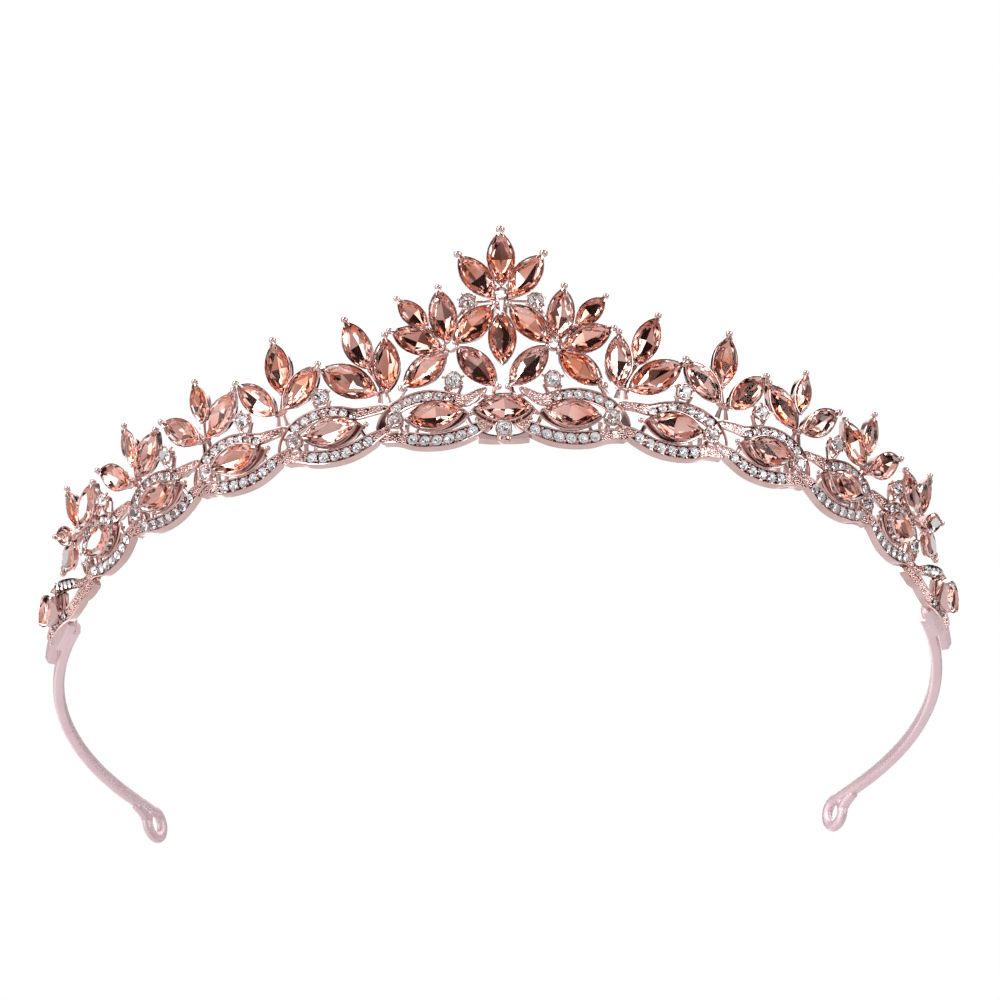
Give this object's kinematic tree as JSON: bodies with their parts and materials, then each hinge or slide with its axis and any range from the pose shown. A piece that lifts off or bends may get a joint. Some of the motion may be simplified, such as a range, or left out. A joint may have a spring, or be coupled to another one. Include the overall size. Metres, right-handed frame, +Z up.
{
  "type": "bridal tiara",
  "caption": "Bridal tiara: cast leaf links and petal clusters set with marquise and round stones, on two wire arms with eyelets.",
  "frame": {"origin": "centre of the bounding box in plan, on the plane that the tiara lies on", "axes": "+X to the wearer's left, front faces -Y, +Z up towards the tip of the crest when the tiara lies on its foot"},
  "size_m": [0.1512, 0.1506, 0.0313],
  "materials": {
    "rose_gold_casting": "polished rose-gold plate on a cast alloy",
    "rose_gold_wire": "satin rose-gold plate on drawn wire",
    "champagne_stone": "faceted champagne glass, foil-backed",
    "clear_stone": "faceted clear glass, foil-backed"
  },
  "bodies": {
    "root": {"accent_stones": "clear_stone", "center_link": "rose_gold_casting", "center_marquise": "champagne_stone", "crest_finial": "rose_gold_casting", "crest_finial_stones": "champagne_stone", "left_end_link": "rose_gold_casting", "left_end_marquise": "champagne_stone", "left_eyelet": "rose_gold_wire", "left_flower": "rose_gold_casting", "left_flower_stones": "champagne_stone", "left_link_1": "rose_gold_casting", "left_link_2": "rose_gold_casting", "left_link_3": "rose_gold_casting", "left_link_4": "rose_gold_casting", "left_link_5": "rose_gold_casting", "left_marquise_1": "champagne_stone", "left_marquise_2": "champagne_stone", "left_marquise_3": "champagne_stone", "left_marquise_4": "champagne_stone", "left_marquise_5": "champagne_stone", "left_pave": "clear_stone", "left_spray_1": "rose_gold_casting", "left_spray_1_stones": "champagne_stone", "left_spray_2": "rose_gold_casting", "left_spray_2_stones": "champagne_stone", "left_spray_3": "rose_gold_casting", "left_spray_3_stones": "champagne_stone", "left_spray_4": "rose_gold_casting", "left_spray_4_stones": "champagne_stone", "left_spray_5": "rose_gold_casting", "left_spray_5_stones": "champagne_stone", "left_wire_arm": "rose_gold_wire", "right_end_link": "rose_gold_casting", "right_end_marquise": "champagne_stone", "right_eyelet": "rose_gold_wire", "right_flower": "rose_gold_casting", "right_flower_stones": "champagne_stone", "right_link_1": "rose_gold_casting", "right_link_2": "rose_gold_casting", "right_link_3": "rose_gold_casting", "right_link_4": "rose_gold_casting", "right_link_5": "rose_gold_casting", "right_marquise_1": "champagne_stone", "right_marquise_2": "champagne_stone", "right_marquise_3": "champagne_stone", "right_marquise_4": "champagne_stone", "right_marquise_5": "champagne_stone", "right_pave": "clear_stone", "right_spray_1": "rose_gold_casting", "right_spray_1_stones": "champagne_stone", "right_spray_2": "rose_gold_casting", "right_spray_2_stones": "champagne_stone", "right_spray_3": "rose_gold_casting", "right_spray_3_stones": "champagne_stone", "right_spray_4": "rose_gold_casting", "right_spray_4_stones": "champagne_stone", "right_spray_5": "rose_gold_casting", "right_spray_5_stones": "champagne_stone", "right_wire_arm": "rose_gold_wire"}
  },
  "joints": []
}
